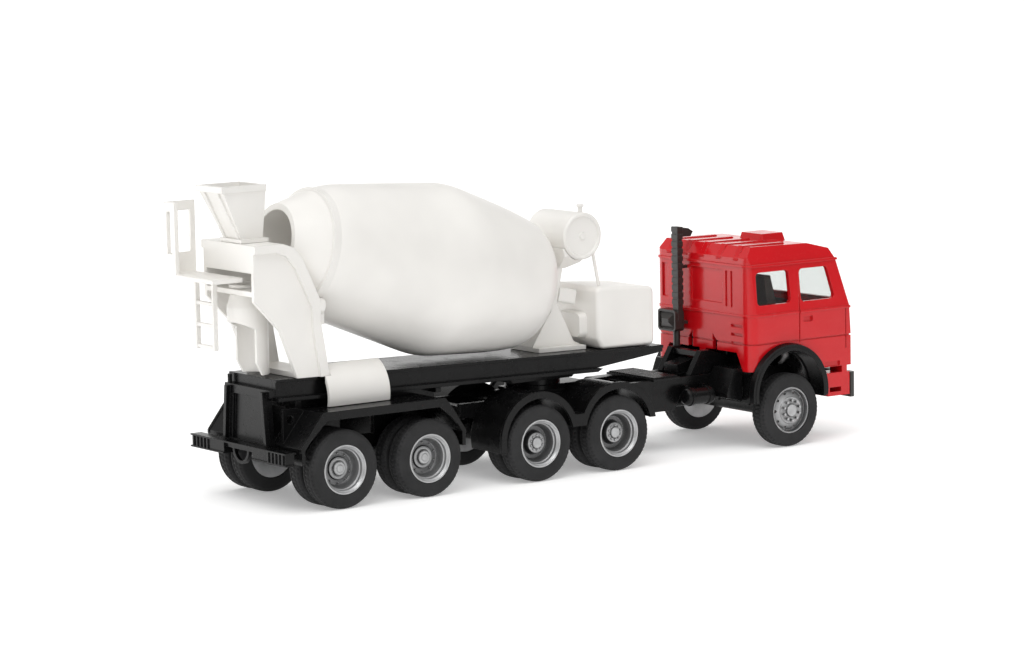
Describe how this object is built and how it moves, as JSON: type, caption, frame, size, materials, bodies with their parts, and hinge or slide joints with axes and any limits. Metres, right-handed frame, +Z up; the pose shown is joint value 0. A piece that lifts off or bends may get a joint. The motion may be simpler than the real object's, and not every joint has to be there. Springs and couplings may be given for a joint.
{
  "type": "scale model of an articulated concrete mixer truck",
  "caption": "Scale model of an articulated concrete mixer: hollow-cab tractor, coupled trailer with a turning drum, hopper, chute and water tank.",
  "frame": {"origin": "on the ground, below the middle of the overall length and width", "axes": "+X forward, towards the cab; +Y to the left; +Z up"},
  "size_m": [0.123, 0.0288, 0.0505],
  "materials": {
    "tyre": "matt dark grey",
    "rim": "silver-grey painted plastic",
    "rod": "drawn wire",
    "red_plastic": "glossy red moulded plastic",
    "clear_plastic": "clear moulded plastic",
    "brown_plastic": "dark brown moulded plastic",
    "grey_plastic": "dark grey moulded plastic",
    "black_plastic": "black moulded plastic, half gloss",
    "white_plastic": "off-white moulded plastic"
  },
  "bodies": {
    "tractor": {"cab_shell": "red_plastic", "cab_glazing": "clear_plastic", "cab_interior": "brown_plastic", "steering_wheel": "brown_plastic", "air_snorkel": "grey_plastic", "tractor_frame": "black_plastic", "engine_block": "black_plastic", "catwalk": "black_plastic", "side_tanks": "black_plastic", "side_steps": "black_plastic", "front_mudguards": "black_plastic", "front_bumper": "red_plastic", "fifth_wheel": "black_plastic", "rear_mudguards": "black_plastic"},
    "front_axle": {"front_tyres": "tyre", "front_rims": "rim", "front_axle_rod": "rod"},
    "drive_axle_1": {"drive_1_tyres": "tyre", "drive_1_rims": "rim", "drive_1_axle_rod": "rod"},
    "drive_axle_2": {"drive_2_tyres": "tyre", "drive_2_rims": "rim", "drive_2_axle_rod": "rod"},
    "trailer": {"trailer_frame": "black_plastic", "kingpin_plate": "black_plastic", "trailer_running_gear": "black_plastic", "trailer_fenders": "black_plastic", "rear_bulkhead": "black_plastic", "rear_light_bar": "black_plastic", "drum_drive": "white_plastic", "front_pedestal": "white_plastic", "engine_housing": "white_plastic", "water_tank": "white_plastic", "rear_pedestal": "white_plastic", "hopper": "white_plastic", "platform": "white_plastic", "ladder": "white_plastic", "spare_chute": "white_plastic"},
    "trailer_axle_1": {"trailer_1_tyres": "tyre", "trailer_1_rims": "rim", "trailer_1_axle_rod": "rod"},
    "trailer_axle_2": {"trailer_2_tyres": "tyre", "trailer_2_rims": "rim", "trailer_2_axle_rod": "rod"},
    "drum": {"drum": "white_plastic"},
    "chute": {"discharge_chute": "white_plastic"}
  },
  "joints": [
    {"name": "front_axle_roll", "type": "hinge", "parent": "tractor", "child": "front_axle", "pos_m": [0.0459, 0, 0.00625], "axis": [0, 1, 0], "continuous": true},
    {"name": "drive_axle_1_roll", "type": "hinge", "parent": "tractor", "child": "drive_axle_1", "pos_m": [0.0091, 0, 0.00625], "axis": [0, 1, 0], "continuous": true},
    {"name": "drive_axle_2_roll", "type": "hinge", "parent": "tractor", "child": "drive_axle_2", "pos_m": [-0.0068, 0, 0.00625], "axis": [0, 1, 0], "continuous": true},
    {"name": "kingpin_turn", "type": "hinge", "parent": "tractor", "child": "trailer", "pos_m": [0.0019, 0, 0.014], "axis": [0, 0, 1], "range_deg": [-90, 90]},
    {"name": "trailer_axle_1_roll", "type": "hinge", "parent": "trailer", "child": "trailer_axle_1", "pos_m": [-0.0285, 0, 0.00625], "axis": [0, 1, 0], "continuous": true},
    {"name": "trailer_axle_2_roll", "type": "hinge", "parent": "trailer", "child": "trailer_axle_2", "pos_m": [-0.0445, 0, 0.00625], "axis": [0, 1, 0], "continuous": true},
    {"name": "drum_spin", "type": "hinge", "parent": "trailer", "child": "drum", "pos_m": [0.0048, 0, 0.02915], "axis": [-0.9759, 0, 0.2181], "continuous": true},
    {"name": "chute_swivel", "type": "hinge", "parent": "trailer", "child": "chute", "pos_m": [-0.0529, 0, 0.03353], "axis": [0, 0, 1], "range_deg": [-60, 60]}
  ]
}
